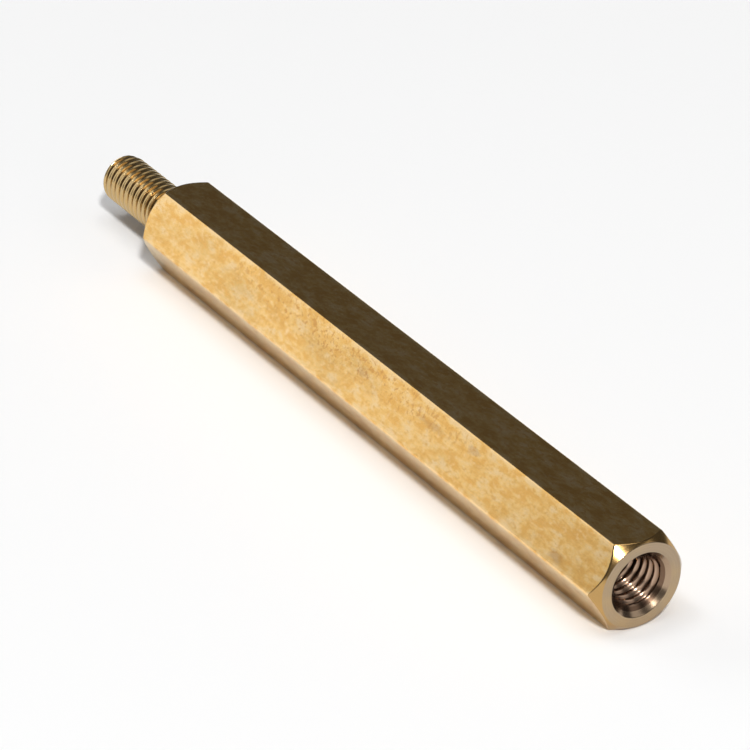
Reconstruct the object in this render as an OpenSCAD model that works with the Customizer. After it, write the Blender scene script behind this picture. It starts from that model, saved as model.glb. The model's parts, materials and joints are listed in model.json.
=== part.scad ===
// Male-female hex standoff, turned in one piece from drawn hexagonal brass bar.
// It lies on one of its flats. The origin is on the axis, in the plane of the shoulder
// that the stud stands out of. +X runs along the axis to the tapped end, and +Z is up.
// The stud is its thread's crest cylinder and the hole is the tapping drill's bore.

/* [Hexagonal body] */
// Length of the body, from the shoulder to the tapped end
body_length = 45; // [20:0.5:100]
// Width of the bar across two opposite flats
across_flats = 5; // [4:0.1:8]
// Radius of the bar's drawn corners
corner_radius = 0.15; // [0.05:0.05:0.3]
// How far the end faces' edges lie inside the flats
chamfer_inset = 0.12; // [0.02:0.02:0.3]
// Angle of the turned end chamfers, from the end face
chamfer_angle = 50; // [20:1:60]

/* [Thread] */
// Nominal diameter of the thread, inside and outside
thread_diameter = 3; // [2.5:0.1:3.6]
// Pitch of the thread
thread_pitch = 0.5; // [0.4:0.05:0.6]

/* [Stud] */
// Length of the stud, from the shoulder to its tip
stud_length = 7; // [4:0.1:12]
// How far the stud's crests lie under the nominal diameter
stud_allowance = 0.06; // [0.02:0.01:0.1]
// Height of the chamfer on the stud's tip, at 45 degrees
tip_chamfer = 0.45; // [0.1:0.05:0.7]

/* [Tapped hole] */
// Depth of the drilled hole to the end of its round wall
drill_depth = 12; // [6:0.5:15]
// Included angle of the drill's point
drill_point_angle = 118; // [90:1:140]
// How far the countersink's rim lies outside the thread, on the radius
countersink_margin = 0.35; // [0.05:0.05:0.4]
// Included angle of the countersink
countersink_angle = 90; // [60:1:120]

/* [Hidden] */
round_sides = 96;
corner_sides = 32;
overrun = 1;

// Bar
flat_radius = across_flats / 2;
corner_reach = flat_radius / cos(30);
corner_centre = corner_reach - corner_radius / cos(30);

// Ends
end_face_radius = flat_radius - chamfer_inset;
chamfer_depth = (corner_reach - end_face_radius) * tan(chamfer_angle);

// Hole and stud
bore_radius = (thread_diameter - thread_pitch) / 2;
point_depth = bore_radius / tan(drill_point_angle / 2);
countersink_radius = thread_diameter / 2 + countersink_margin;
countersink_depth = (countersink_radius - bore_radius) / tan(countersink_angle / 2);
stud_radius = (thread_diameter - stud_allowance) / 2;

// The bar's section: a hexagon with its corners rounded, and two of its flats level
module bar_section() {
    polygon([
        for (corner = [0:60:300], side = [-30, 30])
            corner_centre * [cos(corner), sin(corner)]
                + corner_radius * [cos(corner + side), sin(corner + side)]
    ]);
    for (corner = [0:60:300])
        rotate(corner)
            translate([corner_centre, 0])
                circle(r = corner_radius, $fn = corner_sides);
}

// The turned outline that cuts both ends' chamfers across the bar's corners
module chamfer_outline() {
    reach = corner_reach + overrun;
    flare = overrun * tan(chamfer_angle);
    polygon([
        [0, 0],
        [end_face_radius, 0],
        [reach, chamfer_depth + flare],
        [reach, body_length - chamfer_depth - flare],
        [end_face_radius, body_length],
        [0, body_length]
    ]);
}

// Half section of the drilled and countersunk hole, with its mouth at the tapped end
module hole_outline() {
    mouth = body_length;
    rim = (countersink_radius - bore_radius) * overrun / countersink_depth;
    polygon([
        [0, mouth - drill_depth - point_depth],
        [bore_radius, mouth - drill_depth],
        [bore_radius, mouth - countersink_depth],
        [countersink_radius + rim, mouth + overrun],
        [0, mouth + overrun]
    ]);
}

// Half section of the stud, which runs a little way into the body
module stud_outline() {
    polygon([
        [0, overrun],
        [stud_radius, overrun],
        [stud_radius, tip_chamfer - stud_length],
        [stud_radius - tip_chamfer, -stud_length],
        [0, -stud_length]
    ]);
}

module standoff() {
    color([0.71, 0.56, 0.33])
        rotate([0, 90, 0]) {
            difference() {
                intersection() {
                    linear_extrude(height = body_length)
                        rotate(90) bar_section();
                    rotate_extrude($fn = round_sides) chamfer_outline();
                }
                rotate_extrude($fn = round_sides) hole_outline();
            }
            rotate_extrude($fn = round_sides) stud_outline();
        }
}

standoff();
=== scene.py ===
import json
import math

import bpy
from mathutils import Matrix, Vector


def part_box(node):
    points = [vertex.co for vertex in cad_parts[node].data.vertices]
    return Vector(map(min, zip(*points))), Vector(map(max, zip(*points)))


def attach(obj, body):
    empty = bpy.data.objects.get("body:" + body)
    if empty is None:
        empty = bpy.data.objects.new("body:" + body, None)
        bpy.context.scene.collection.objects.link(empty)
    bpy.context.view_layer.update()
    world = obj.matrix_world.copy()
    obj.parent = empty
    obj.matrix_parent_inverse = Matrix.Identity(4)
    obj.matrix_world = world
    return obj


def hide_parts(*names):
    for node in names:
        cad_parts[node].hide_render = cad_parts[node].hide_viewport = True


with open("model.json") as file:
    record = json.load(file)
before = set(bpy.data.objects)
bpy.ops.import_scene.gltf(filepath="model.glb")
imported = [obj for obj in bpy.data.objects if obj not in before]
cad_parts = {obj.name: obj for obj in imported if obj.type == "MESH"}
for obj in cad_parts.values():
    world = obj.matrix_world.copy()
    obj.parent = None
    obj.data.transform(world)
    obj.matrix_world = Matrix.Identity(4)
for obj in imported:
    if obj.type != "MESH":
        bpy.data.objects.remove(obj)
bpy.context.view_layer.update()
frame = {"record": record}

# A hex standoff in drawn brass: threaded stud at -X, tapped hole at +X, lying on one flat.
low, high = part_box("standoff")
middle = (low + high) / 2
mounts = {mount["name"]: mount for mount in frame["record"]["mounts"]}
millimetre = 0.001
scene = bpy.context.scene


class Wire:
    # a socket in a node tree; sums written on it add Math nodes
    def __init__(self, tree, socket=None):
        self.tree = tree
        self.socket = socket

    def node(self, kind, settings=None, inputs=None, output=0):
        made = self.tree.nodes.new(kind)
        for name, value in (settings or {}).items():
            setattr(made, name, value)
        for key, value in (inputs or {}).items():
            values = value if isinstance(value, list) else [value]
            for single in values:
                if isinstance(single, Wire):
                    self.tree.links.new(single.socket, made.inputs[key])
                else:
                    made.inputs[key].default_value = single
        return Wire(self.tree, made.outputs[output] if made.outputs else None)

    def other(self, output):
        # another output of the same node
        return Wire(self.tree, self.socket.node.outputs[output])

    def math(self, operation, *values):
        return self.node("ShaderNodeMath", {"operation": operation}, dict(enumerate(values)))

    def vector(self, operation, *values, output=0):
        inputs = dict(enumerate(values))
        return self.node("ShaderNodeVectorMath", {"operation": operation}, inputs, output)

    def __add__(self, other):
        return self.math("ADD", self, other)

    def __radd__(self, other):
        return self.math("ADD", other, self)

    def __sub__(self, other):
        return self.math("SUBTRACT", self, other)

    def __rsub__(self, other):
        return self.math("SUBTRACT", other, self)

    def __mul__(self, other):
        return self.math("MULTIPLY", self, other)

    def __rmul__(self, other):
        return self.math("MULTIPLY", other, self)

    def __truediv__(self, other):
        return self.math("DIVIDE", self, other)

    def __rtruediv__(self, other):
        return self.math("DIVIDE", other, self)

    def __lt__(self, other):
        return self.math("LESS_THAN", self, other)

    def span(self, fromLow, fromHigh, toLow=0.0, toHigh=1.0, shape="LINEAR"):
        # carries a value from one range to another and stops at its ends
        return self.node("ShaderNodeMapRange", {"interpolation_type": shape, "clamp": True},
                         {0: self, 1: fromLow, 2: fromHigh, 3: toLow, 4: toHigh})

    def mix(self, factor, first, second):
        # 6 and 7 are the node's two colours, and output 2 is its colour
        return self.node("ShaderNodeMix", {"data_type": "RGBA"},
                         {0: factor, 6: first, 7: second}, output=2)


def clearTree(owner):
    # empties the node tree of a material or a world and returns it
    owner.use_nodes = True
    owner.node_tree.nodes.clear()
    return Wire(owner.node_tree)


def direction(azimuth, elevation):
    # degrees from -Y towards +X, and degrees above the floor
    azimuth, elevation = math.radians(azimuth), math.radians(elevation)
    return Vector((math.sin(azimuth) * math.cos(elevation),
                   -math.cos(azimuth) * math.cos(elevation),
                   math.sin(elevation)))


def facing(place, target):
    # stands at a place and looks at a target
    turn = (target - place).to_track_quat("-Z", "Y").to_matrix().to_4x4()
    return Matrix.Translation(place) @ turn


view = {
    "azimuth": 56.6,
    "elevation": 29.2,
    "distance": 223 * millimetre,
    "aimAlong": 0.53,  # share of the length, from the stud's tip, that the camera aims at
    "roll": 1.85,  # degrees
    "lens": 198.0,  # mm
    "sensor": 36,  # mm
    "nearest": 10 * millimetre,  # nothing closer is shown
}


def makeCamera():
    data = bpy.data.cameras.new("camera")
    data.lens = view["lens"]
    data.sensor_width = view["sensor"]
    data.clip_start = view["nearest"]
    camera = bpy.data.objects.new("camera", data)
    aim = Vector((low.x + view["aimAlong"] * (high.x - low.x), middle.y, middle.z))
    place = middle + direction(view["azimuth"], view["elevation"]) * view["distance"]
    camera.matrix_world = facing(place, aim) @ Matrix.Rotation(math.radians(view["roll"]), 4, "Z")
    scene.collection.objects.link(camera)
    scene.camera = camera
    print("camera", [round(value, 4) for value in place])


form = {
    "Tip X": low.x,
    "Shoulder X": mounts["stud"]["pos_m"][0],
    "End X": high.x,
    "Flat Radius": (high.z - low.z) / 2,
    "Corner Radius": 0.15 * millimetre,
    "Chamfer Inset": 0.12 * millimetre,
    "Chamfer Angle": math.radians(50),
    "Edge Break": 0.04 * millimetre,  # the small round on each turned edge
    "Pitch": 0.5 * millimetre,
    "Stud Radius": mounts["stud"]["dims"]["r_mm"] * millimetre,
    "Tip Chamfer": 0.45 * millimetre,
    "Tip Round": 0.06 * millimetre,  # between the tip's disc and its chamfer
    "Tip Blend": 0.24 * millimetre,  # how softly the thread runs into that chamfer
    "Stud Thread Depth": 0.25 * millimetre,
    "Stud Neck": 0.15 * millimetre,  # plain stretch at the shoulder
    "Stud Runout": 0.9 * millimetre,  # how far from the shoulder the groove is full
    "Bore Radius": mounts["tapped_hole"]["dims"]["r_mm"] * millimetre,
    "Drill Depth": 12 * millimetre,
    "Drill Point Angle": math.radians(118),
    "Countersink Margin": 0.35 * millimetre,
    "Countersink Depth": 0.245 * millimetre,  # as far as the thread's first turn
    "Hole Thread Depth": 0.20 * millimetre,
    "Hole Thread Length": 9 * millimetre,
    "Hole Runout": 1.2 * millimetre,
    "Hole Blend": 0.05 * millimetre,  # how softly the thread runs into the countersink
}

# where a thread's slope starts and ends, in half pitches from the middle of a stud's crest or a hole's groove
slopes = {"stud": (0.20, 0.88), "hole": (0.06, 0.92)}

divisions = {
    "flat": 12,  # columns across a flat
    "corner": 2,  # columns on each half of a corner
    "turn": 16,  # rows in one turn of a thread
    "tip": 6,  # rows from the middle of the stud's tip to its rim
    "edge": 3,  # rows round a turned edge
    "face": 5,  # rows on a turned face
    "bar": 62,  # rows along the drawn flats
    "drill": 4,  # rows on the bore past the thread
    "point": 3,  # rows on the drill's point
}

barSides = 6
cornerHold = 1e-5  # keeps a corner's column in the sector after it
rimSlope = 3  # how steeply the round at the tip's rim starts, where its chamfer is 1
wholeTurns = 64  # more than either thread has, so that no phase is negative
weld = 0.0005 * millimetre
smoothAngle = math.radians(40)  # edges sharper than this stay sharp
cuts = {"drawn": 0, "chamfered": 1, "faced": 2, "countersunk": 3, "studThread": 4, "tapped": 5}


class Ring:
    # a circle of the outline: how far along the axis, and its radius
    def __init__(self, x, r):
        self.x = x
        self.r = r

    def towards(self, other, share):
        return Ring(self.x + (other.x - self.x) * share, self.r + (other.r - self.r) * share)


def formTree():
    tree = bpy.data.node_groups.new("standoffForm", "GeometryNodeTree")
    for name, value in form.items():
        socket = tree.interface.new_socket(name=name, in_out="INPUT", socket_type="NodeSocketFloat")
        socket.default_value = value
    tree.interface.new_socket(name="Brass", in_out="INPUT", socket_type="NodeSocketMaterial")
    tree.interface.new_socket(name="Form", in_out="OUTPUT", socket_type="NodeSocketGeometry")
    graph = Wire(tree)
    given = graph.node("NodeGroupInput")
    size = {name: given.other(name) for name in [*form, "Brass"]}

    perSector = divisions["flat"] + 2 * divisions["corner"]
    around = barSides * perSector
    sectorAngle = 2 * math.pi / barSides

    # how far round the axis and along its band each point lies, from 0 to 1
    turn, run = (graph.node("GeometryNodeInputNamedAttribute", {"data_type": "FLOAT"}, {"Name": name})
                 for name in ("turn", "run"))

    # angle round the axis, from a corner; the columns crowd on to the rounded corners
    flat = size["Flat Radius"]
    flatReach = (flat - size["Corner Radius"]) * math.tan(sectorAngle / 2)
    cornerHalf = sectorAngle / 2 - graph.math("ARCTAN2", flatReach, flat)
    sector = graph.math("FLOOR", turn * barSides + cornerHold)
    within = turn * barSides - sector
    bend = divisions["corner"] / perSector
    fromCorner = (within.span(0, bend, 0, cornerHalf)
                  + within.span(bend, 1 - bend, 0, sectorAngle - cornerHalf * 2)
                  + within.span(1 - bend, 1, 0, cornerHalf))
    angle = sector * sectorAngle + fromCorner
    share = angle / (2 * math.pi)

    # radius of the hexagonal bar at that angle
    offFlat = graph.math("ABSOLUTE", fromCorner - sectorAngle / 2)
    offCorner = sectorAngle / 2 - offFlat
    centre = (flat - size["Corner Radius"]) / math.cos(sectorAngle / 2)
    aside = centre * graph.math("SINE", offCorner)
    bulge = graph.math("SQRT", size["Corner Radius"] * size["Corner Radius"] - aside * aside)
    onCorner = centre * graph.math("COSINE", offCorner) + bulge
    onFlat = flat / graph.math("COSINE", offFlat)
    hexRadius = onFlat + (onCorner - onFlat) * (offCorner < cornerHalf)

    sine = graph.math("SINE", angle)
    cosine = graph.math("COSINE", angle)
    bands = []

    def band(rows, x, r, cut):
        # a strip that goes once round the axis
        grid = graph.node("GeometryNodeMeshGrid", {}, {"Vertices X": around + 1, "Vertices Y": rows + 1})
        split = graph.node("ShaderNodeSeparateXYZ", {}, {0: grid.other("UV Map")})
        kept = grid
        for name, value, domain in (("turn", split, "POINT"), ("run", split.other(1), "POINT"),
                                    ("cut", float(cuts[cut]), "FACE")):
            kept = graph.node("GeometryNodeStoreNamedAttribute", {"data_type": "FLOAT", "domain": domain},
                              {"Geometry": kept, "Name": name, "Value": value})
        position = graph.node("ShaderNodeCombineXYZ", {}, {0: x, 1: r * cosine, 2: r * sine})
        bands.append(graph.node("GeometryNodeSetPosition", {}, {"Geometry": kept, "Position": position}))

    def gap(start, end):
        along, out = end.x - start.x, end.r - start.r
        return graph.math("SQRT", along * along + out * out)

    def straight(rows, start, end, cut):
        # its first and last rows are narrow, so that the face between them shades flat
        hold, step = size["Edge Break"] / gap(start, end), 1 / rows
        part = (run.span(0, step, 0, hold) + run.span(step, 1 - step, 0, 1 - hold * 2)
                + run.span(1 - step, 1, 0, hold))
        band(rows, start.x + (end.x - start.x) * part, start.r + (end.r - start.r) * part, cut)

    def edge(before, corner, after, cut):
        # the points just short of and just past a turned edge, and the small round between them
        start, end = (corner.towards(other, size["Edge Break"] / gap(corner, other))
                      for other in (before, after))
        back = 1 - run
        first, second, last = back * back, 2 * (run * back), run * run
        band(divisions["edge"], start.x * first + corner.x * second + end.x * last,
             start.r * first + corner.r * second + end.r * last, cut)
        return start, end

    def between(value, least, most):
        return graph.math("MINIMUM", graph.math("MAXIMUM", value, least), most)

    def wave(x, begin, depth, slope):
        # a right-handed helix that goes from 0 to its depth and back in each pitch
        phase = graph.math("FRACT", (x - begin) / size["Pitch"] - share + wholeTurns)
        offMiddle = graph.math("ABSOLUTE", phase - 0.5) * 2
        return offMiddle.span(*slope, 0, depth, "SMOOTHSTEP")

    def threadRows(length):
        # the rows follow the helix, so they run for one turn more than the thread
        return round((length / form["Pitch"] + 1) * divisions["turn"])

    # stud tip
    tipRadius = size["Stud Radius"] - size["Tip Chamfer"]
    discRadius = tipRadius - size["Tip Round"]
    band(divisions["tip"], size["Tip X"], discRadius * run, "faced")

    # stud thread
    travel = size["Shoulder X"] - size["Tip X"] + size["Pitch"]
    raw = size["Tip X"] + (share - 1) * size["Pitch"] + run * travel
    x = between(raw, size["Tip X"], size["Shoulder X"])
    fade = (size["Shoulder X"] - x).span(size["Stud Neck"], size["Stud Runout"])
    groove = wave(x, size["Tip X"], size["Stud Thread Depth"], slopes["stud"])
    thread = size["Stud Radius"] - groove * fade
    fromTip = x - size["Tip X"]
    cone = graph.math("SMOOTH_MIN", discRadius + fromTip * rimSlope, tipRadius + fromTip, size["Tip Round"])
    band(threadRows(form["Shoulder X"] - form["Tip X"]), x,
         graph.math("SMOOTH_MIN", thread, cone, size["Tip Blend"]), "studThread")

    # shoulder, its chamfer, flats, the end's chamfer, end face and countersink
    faceRadius = flat - size["Chamfer Inset"]
    chamferDepth = (hexRadius - faceRadius) * graph.math("TANGENT", size["Chamfer Angle"])
    sinkRadius = size["Bore Radius"] + size["Pitch"] / 2 + size["Countersink Margin"]
    studFoot = Ring(size["Shoulder X"], size["Stud Radius"])
    shoulderRim = Ring(size["Shoulder X"], faceRadius)
    barStart = Ring(size["Shoulder X"] + chamferDepth, hexRadius)
    barStop = Ring(size["End X"] - chamferDepth, hexRadius)
    endRim = Ring(size["End X"], faceRadius)
    sinkRim = Ring(size["End X"], sinkRadius)
    sinkFoot = Ring(size["End X"] - size["Countersink Depth"], sinkRadius - size["Countersink Depth"])

    rimIn, rimOut = edge(studFoot, shoulderRim, barStart, "faced")
    straight(divisions["face"], studFoot, rimIn, "faced")
    startIn, startOut = edge(shoulderRim, barStart, barStop, "chamfered")
    straight(divisions["face"], rimOut, startIn, "chamfered")
    stopIn, stopOut = edge(barStart, barStop, endRim, "chamfered")
    straight(divisions["bar"], startOut, stopIn, "drawn")
    endIn, endOut = edge(barStop, endRim, sinkRim, "faced")
    straight(divisions["face"], stopOut, endIn, "chamfered")
    sinkIn, sinkOut = edge(endRim, sinkRim, sinkFoot, "faced")
    straight(divisions["face"], endOut, sinkIn, "faced")
    straight(divisions["face"], sinkOut, sinkFoot, "countersunk")

    # tapped hole
    threadEnd = size["End X"] - size["Hole Thread Length"]
    travel = sinkFoot.x - threadEnd + size["Pitch"]
    raw = sinkFoot.x + share * size["Pitch"] - run * travel
    x = between(raw, threadEnd, sinkFoot.x)
    fade = (x - threadEnd).span(0, size["Hole Runout"])
    ridge = wave(x, sinkFoot.x, size["Hole Thread Depth"], slopes["hole"])
    thread = size["Bore Radius"] + (size["Hole Thread Depth"] - ridge) * fade
    cone = sinkFoot.r - (sinkFoot.x - x)
    band(threadRows(form["Hole Thread Length"] - form["Countersink Depth"]), x,
         graph.math("SMOOTH_MAX", thread, cone, size["Hole Blend"]), "tapped")
    boreEnd = Ring(size["End X"] - size["Drill Depth"], size["Bore Radius"])
    straight(divisions["drill"], Ring(threadEnd, size["Bore Radius"]), boreEnd, "tapped")
    point = size["Bore Radius"] / graph.math("TANGENT", size["Drill Point Angle"] / 2)
    band(divisions["point"], boreEnd.x - point * run, boreEnd.r * (1 - run), "tapped")

    joined = graph.node("GeometryNodeJoinGeometry", {}, {0: bands[::-1]})
    merged = graph.node("GeometryNodeMergeByDistance", {}, {"Geometry": joined, "Distance": weld})
    real = graph.node("GeometryNodeRealizeInstances", {}, {0: merged})
    smooth = graph.node("GeometryNodeSetShadeSmooth", {}, {"Geometry": real, "Shade Smooth": True})
    gentle = graph.node("GeometryNodeInputMeshEdgeAngle") < smoothAngle
    smooth = graph.node("GeometryNodeSetShadeSmooth", {"domain": "EDGE"},
                        {"Geometry": smooth, "Shade Smooth": gentle})
    painted = graph.node("GeometryNodeSetMaterial", {}, {"Geometry": smooth, "Material": size["Brass"]})
    graph.node("NodeGroupOutput", {}, {0: painted})
    return tree


def makeStandoff(material):
    piece = bpy.data.objects.new("brassStandoff", bpy.data.meshes.new("brassStandoff"))
    scene.collection.objects.link(piece)
    modifier = piece.modifiers.new("form", "NODES")
    modifier.node_group = formTree()
    identifiers = {item.name: item.identifier for item in modifier.node_group.interface.items_tree
                   if item.in_out == "INPUT"}
    for name, value in form.items():
        modifier[identifiers[name]] = value
    modifier[identifiers["Brass"]] = material
    # the tree's result becomes the piece's own mesh
    evaluated = piece.evaluated_get(bpy.context.evaluated_depsgraph_get())
    mesh = bpy.data.meshes.new_from_object(evaluated)
    piece.modifiers.remove(modifier)
    piece.data = mesh
    print("standoff", len(mesh.polygons), "faces")
    return piece


# a span here is two values of a noise or a distance, then what they are carried to, or else 0 and 1
brass = {
    "gold": (0.97, 0.62, 0.22, 1),  # drawn flats
    "orange": (0.86, 0.49, 0.14, 1),  # warmer patches in them
    "cream": (1.00, 0.71, 0.36, 1),  # rubbed corners and paler grains
    "freckle": (0.68, 0.35, 0.10, 1),  # small dark spots
    "olive": (0.64, 0.42, 0.16, 1),  # tarnish
    "brown": (0.42, 0.20, 0.07, 1),  # stains
    "chamfer": (0.52, 0.32, 0.12, 1),  # the bar's turned corners
    "faced": (0.40, 0.30, 0.20, 1),  # turned end faces
    "facedLine": (0.50, 0.39, 0.27, 1),  # tool rings in them
    "countersink": (0.42, 0.30, 0.20, 1),
    "crest": (0.60, 0.43, 0.21, 1),  # the stud's thread
    # the next colour is painted shade for the stud's thread roots
    "root": (0.16, 0.10, 0.04, 1),
    "tapped": (0.50, 0.34, 0.24, 1),  # the hole's thread
    # the next colour is painted shade for the hole's thread roots
    "tappedRootShade": (0.18, 0.11, 0.07, 1),
    "edgeTint": (0.75, 0.82, 0.88, 1),  # the tarnish film's dimmer grazing gloss
    "clouds": {  # each noise's cells to a millimetre, detail, roughness, and stretch along the axes
        "patches": (0.35, 4, 0.6, (0.4, 1, 1)),
        "blotches": (1.7, 3, 0.55, (0.5, 1, 1)),
        "grains": (4.4, 3, 0.6, (0.6, 1, 1)),
        "freckles": (3.2, 3, 0.6, (1, 1, 1)),
        "lines": (5.0, 3, 0.6, (0.04, 1, 1)),
        "hairlines": (20, 3, 0.6, (0.02, 1, 1)),
        "rings": (9, 3, 0.5, (1, 1, 1)),  # a tool's rings, along the radius and the length
    },
    "drawnLayers": [  # tints laid in turn, each where its noise goes from one value to the other
        {"tint": "gold", "cloud": "blotches", "span": (0.38, 0.52), "strength": 1.0},
        {"tint": "cream", "cloud": "blotches", "span": (0.52, 0.66), "strength": 1.0},
        {"tint": "cream", "cloud": "lines", "span": (0.52, 0.70), "strength": 0.20},
        {"tint": "orange", "cloud": "lines", "span": (0.46, 0.30), "strength": 0.25},
        {"tint": "olive", "cloud": "patches", "span": (0.50, 0.70), "strength": 0.35},
        {"tint": "cream", "cloud": "grains", "span": (0.52, 0.66), "strength": 0.5},
        {"tint": "orange", "cloud": "grains", "span": (0.48, 0.34), "strength": 0.8},
    ],
    "facedLayers": [
        {"tint": "facedLine", "cloud": "rings", "span": (0.48, 0.75), "strength": 0.6},
        {"tint": "olive", "cloud": "patches", "span": (0.45, 0.7), "strength": 0.3},
    ],
    "studLayers": [
        {"tint": "olive", "cloud": "blotches", "span": (0.40, 0.62), "strength": 0.4},
    ],
    "freckled": {  # the stretch that is freckled, in mm
        "place": (20, -1.75, 2.0),
        "reach": (15, 1.0, 1.7),
        "fade": (1.0, 0.5),
        "span": (0.47, 0.37),
        "strength": 0.75,
    },
    "rubbed": {  # wear on the bar's corners, in radians from each, and where the blotches leave it
        "corner": (0.03, 0.09, 1, 0),
        "blotches": (0.42, 0.58, 0.05, 1),
        "strength": 0.8,
    },
    "markFray": (0.3, 0.7, 0.4, -0.4),  # how the blotches move a mark's rim in and out
    "markFade": (1.0, 0.4),
    "marks": [  # wear on the flats, in mm: its place, and how far it reaches along, across and up
        {"tint": "cream", "place": (15.4, -2.40, 0.85), "reach": (0.30, 0.25, 0.30), "strength": 0.9},
        {"tint": "cream", "place": (37.0, -1.52, 2.38), "reach": (0.55, 0.16, 0.16), "strength": 1.0},
        {"tint": "cream", "place": (36.8, -2.78, 0.18), "reach": (0.60, 0.20, 0.25), "strength": 0.8},
        {"tint": "cream", "place": (36.3, 0.34, 2.50), "reach": (0.40, 0.14, 0.20), "strength": 0.6},
        {"tint": "brown", "place": (22.4, -1.96, 1.60), "reach": (0.50, 0.30, 0.45), "strength": 0.25},
        {"tint": "brown", "place": (28.9, -1.94, 1.64), "reach": (1.70, 0.20, 0.30), "strength": 0.35},
        {"tint": "brown", "place": (32.7, -1.78, 1.92), "reach": (0.60, 0.20, 0.25), "strength": 0.3},
        {"tint": "orange", "place": (12.6, -1.69, 2.07), "reach": (2.40, 0.25, 0.35), "strength": 0.8},
        {"tint": "brown", "place": (41.4, -2.61, 0.47), "reach": (0.70, 0.25, 0.40), "strength": 0.4},
    ],
    "studRootShade": {"start": 0.06 * millimetre, "strength": 0.7},  # painted shade in the stud's grooves: how deep in a groove it starts darkening, and how strongly
    # painted shade in the hole's grooves: how deep in a groove it starts darkening, and how strongly
    "tapRootShade": {"start": 0.05 * millimetre, "strength": 1.0},
    "roughness": 0.155,
    "dulled": {  # span of each noise, and what it adds to the roughness
        "hairlines": (0.35, 0.75, 0, 0.05),
        "blotches": (0.4, 0.7, 0, 0.04),
        "patches": (0.5, 0.7, 0, 0.05),
    },
    "bump": {  # how high each noise stands in it
        "strength": 0.3,
        "distance": 0.006 * millimetre,
        "hairlines": 0.5,
        "rings": 0.8,
        "blotches": 0.8,
    },
}


def makeBrass():
    material = bpy.data.materials.new("drawnBrass")
    graph = clearTree(material)
    place = graph.node("ShaderNodeTexCoord", output="Object")
    x = graph.node("ShaderNodeSeparateXYZ", {}, {0: place})
    y, z = x.other(1), x.other(2)
    radius = graph.math("SQRT", y * y + z * z)
    cut = graph.node("ShaderNodeAttribute", {"attribute_name": "cut"}, output="Fac")

    ringPlace = graph.node("ShaderNodeCombineXYZ", {}, {0: radius, 1: x})
    clouds = {}
    for name, (rate, detail, roughness, stretch) in brass["clouds"].items():
        spot = graph.vector("MULTIPLY", ringPlace if name == "rings" else place,
                            tuple(rate * share / millimetre for share in stretch))
        clouds[name] = graph.node("ShaderNodeTexNoise", {}, {
            "Vector": spot, "Scale": 1.0, "Detail": detail, "Roughness": roughness})

    def cutAs(kind):
        return graph.math("COMPARE", cut, float(cuts[kind]), 0.5)

    def reach(spot):
        # 0 at a spot's middle and 1 at its rim
        offset = graph.vector("SUBTRACT", place, tuple(value * millimetre for value in spot["place"]))
        offset = graph.vector("DIVIDE", offset, tuple(value * millimetre for value in spot["reach"]))
        return graph.vector("LENGTH", offset, output="Value")

    def layered(colour, layers):
        for layer in layers:
            covered = clouds[layer["cloud"]].span(*layer["span"]) * layer["strength"]
            colour = graph.mix(covered, colour, brass[layer["tint"]])
        return colour

    # drawn flats: layers, freckles, rubbed corners and marks
    colour = layered(brass["orange"], brass["drawnLayers"])
    freckled, rubbed = brass["freckled"], brass["rubbed"]
    freckles = clouds["freckles"].span(*freckled["span"]) * reach(freckled).span(*freckled["fade"])
    colour = graph.mix(freckles * freckled["strength"], colour, brass["freckle"])
    corner = graph.math("PINGPONG", graph.math("ARCTAN2", z, y), math.pi / barSides)
    worn = corner.span(*rubbed["corner"]) * clouds["blotches"].span(*rubbed["blotches"])
    colour = graph.mix(worn * rubbed["strength"], colour, brass["cream"])
    for mark in brass["marks"]:
        worn = (reach(mark) + clouds["blotches"].span(*brass["markFray"])).span(*brass["markFade"])
        colour = graph.mix(worn * mark["strength"], colour, brass[mark["tint"]])

    # turned faces, and threads whose roots are darkened with painted shade
    faced = layered(brass["faced"], brass["facedLayers"])
    studRootShade = radius.span(form["Stud Radius"] - brass["studRootShade"]["start"],
                           form["Stud Radius"] - form["Stud Thread Depth"])
    stud = layered(brass["crest"], brass["studLayers"])
    stud = graph.mix(studRootShade * brass["studRootShade"]["strength"], stud, brass["root"])
    tapRootShade = radius.span(form["Bore Radius"] + brass["tapRootShade"]["start"],
                          form["Bore Radius"] + form["Hole Thread Depth"])
    tapped = graph.mix(tapRootShade * brass["tapRootShade"]["strength"], brass["tapped"], brass["tappedRootShade"])
    for kind, tint in (("chamfered", brass["chamfer"]), ("countersunk", brass["countersink"]),
                       ("faced", faced), ("studThread", stud), ("tapped", tapped)):
        colour = graph.mix(cutAs(kind), colour, tint)

    isDrawn = cutAs("drawn")
    dulled = {name: clouds[name].span(*values) for name, values in brass["dulled"].items()}
    rough = brass["roughness"] + dulled["hairlines"] + dulled["blotches"] + dulled["patches"] * isDrawn
    bump = brass["bump"]
    height = (clouds["hairlines"] * isDrawn * bump["hairlines"]
              + clouds["rings"] * (1 - isDrawn) * bump["rings"]
              + clouds["blotches"] * bump["blotches"])
    normal = graph.node("ShaderNodeBump", {}, {
        "Strength": bump["strength"], "Distance": bump["distance"], "Height": height})
    shader = graph.node("ShaderNodeBsdfPrincipled", {}, {
        "Base Color": colour, "Metallic": 1.0, "Roughness": rough,
        "Specular Tint": brass["edgeTint"], "Normal": normal})
    graph.node("ShaderNodeOutputMaterial", {}, {"Surface": shader})
    print("brass", len(material.node_tree.nodes), "nodes")
    return material


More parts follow.
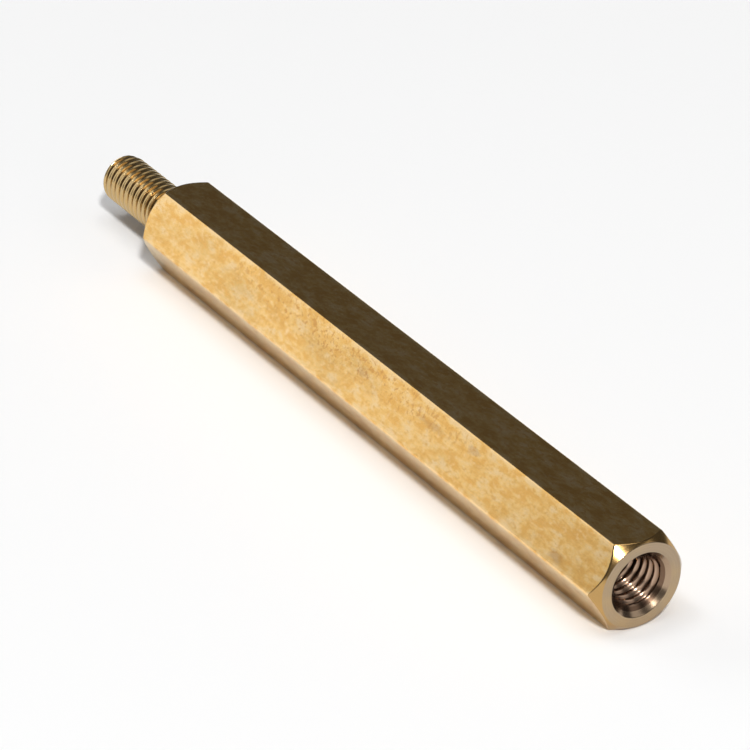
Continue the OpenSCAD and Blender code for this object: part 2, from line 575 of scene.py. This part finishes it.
studio = {
    "floorSize": 3.0,
    "floorColour": (0.95, 0.95, 0.95, 1),
    "floorRoughness": 0.8,
    "floorGloss": 0.1,
    "floorFade": (0.045, 0.20),  # how far out the floor starts and ends turning into the backdrop
    "sweep": (1.0, 1.0, 1.0, 1),  # the pale backdrop low round the floor
    "room": (0.080, 0.080, 0.080, 1),  # the dim room above it
    "sweepTop": 4,  # degrees above the floor
    "edgeFade": (-2, 4),  # degrees from an edge to where it starts and stops fading
    "panels": [  # pale boards in that room, in degrees; each fades from its inner half width to its outer
        {"azimuth": 296, "inner": 19.7, "outer": 23, "bottom": 0, "top": 43, "level": 1.0},
        {"azimuth": 40, "inner": 10, "outer": 22, "bottom": 0, "top": 30, "level": 0.09},
        {"azimuth": 82, "inner": 14, "outer": 26, "bottom": 0, "top": 26, "level": 1.0},
        {"azimuth": 135, "inner": 14, "outer": 26, "bottom": 26, "top": 44, "level": 0.7},
    ],
    "lamps": {  # in degrees, metres, and watts from a square metre into a steradian
        "overhead": {"azimuth": 0, "elevation": 90, "distance": 1.0, "size": 0.84, "radiance": 1.65},
        "side": {"azimuth": 325, "elevation": 67, "distance": 1.0, "size": 0.30, "radiance": 4.7},
        "key": {"azimuth": 65, "elevation": 47, "distance": 1.2, "size": 0.14, "radiance": 200.0},
    },
}


def makeLamps():
    for name, lamp in studio["lamps"].items():
        data = bpy.data.lights.new(name, "AREA")
        data.shape = "DISK"
        data.size = lamp["size"]
        diskArea = math.pi * (lamp["size"] / 2) ** 2
        data.energy = lamp["radiance"] * math.pi * diskArea
        place = middle + direction(lamp["azimuth"], lamp["elevation"]) * lamp["distance"]
        light = bpy.data.objects.new(name, data)
        light.matrix_world = facing(place, middle)
        scene.collection.objects.link(light)
    print("lamps", list(studio["lamps"]))


def makeFloor():
    half = studio["floorSize"] / 2
    corners = [(-half, -half, low.z), (half, -half, low.z), (half, half, low.z), (-half, half, low.z)]
    mesh = bpy.data.meshes.new("floor")
    mesh.from_pydata(corners, [], [(0, 1, 2, 3)])
    floor = bpy.data.objects.new("floor", mesh)
    scene.collection.objects.link(floor)
    material = bpy.data.materials.new("paleFloor")
    graph = clearTree(material)
    lit = graph.node("ShaderNodeBsdfPrincipled", {}, {
        "Base Color": studio["floorColour"], "Roughness": studio["floorRoughness"],
        "Specular IOR Level": studio["floorGloss"]})
    plain = graph.node("ShaderNodeEmission", {}, {"Color": studio["sweep"], "Strength": 1.0})
    place = graph.node("ShaderNodeTexCoord", output="Object")
    out = graph.vector("LENGTH", graph.vector("SUBTRACT", place, middle), output="Value")
    rays = graph.node("ShaderNodeLightPath", output="Is Camera Ray")
    seen = rays + rays.other("Is Glossy Ray") + rays.other("Is Transmission Ray")
    far = out.span(*studio["floorFade"], shape="SMOOTHSTEP") * seen.span(0, 1)
    shader = graph.node("ShaderNodeMixShader", {}, {0: far, 1: lit, 2: plain})
    graph.node("ShaderNodeOutputMaterial", {}, {"Surface": shader})
    mesh.materials.append(material)
    print("floor", studio["floorSize"], "m wide")


def makeWorld():
    world = bpy.data.worlds.new("studio")
    scene.world = world
    graph = clearTree(world)
    towards = graph.node("ShaderNodeTexCoord", output="Generated")
    up = graph.node("ShaderNodeSeparateXYZ", {}, {0: towards}).other(2)
    level = graph.vector("NORMALIZE", graph.vector("MULTIPLY", towards, (1, 1, 0)))

    def above(edge):
        start, end = (math.sin(math.radians(edge + offset)) for offset in studio["edgeFade"])
        return up.span(start, end, 0, 1, "SMOOTHSTEP")

    light = 1 - above(studio["sweepTop"])
    for panel in studio["panels"]:
        aside = graph.vector("DOT_PRODUCT", level, direction(panel["azimuth"], 0), output="Value")
        outer, inner = (math.cos(math.radians(panel[side])) for side in ("outer", "inner"))
        board = aside.span(outer, inner, 0, panel["level"], "SMOOTHSTEP")
        light = graph.math("MAXIMUM", light, board * above(panel["bottom"]) * (1 - above(panel["top"])))
    colour = graph.mix(light, studio["room"], studio["sweep"])
    background = graph.node("ShaderNodeBackground", {}, {"Color": colour, "Strength": 1.0})
    graph.node("ShaderNodeOutputWorld", {}, {"Surface": background})
    print("backdrop with", len(studio["panels"]), "boards")


makeCamera()
piece = makeStandoff(makeBrass())
makeFloor()
makeWorld()
makeLamps()
scene.view_settings.view_transform = "Standard"

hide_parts("standoff")
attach(piece, "root")
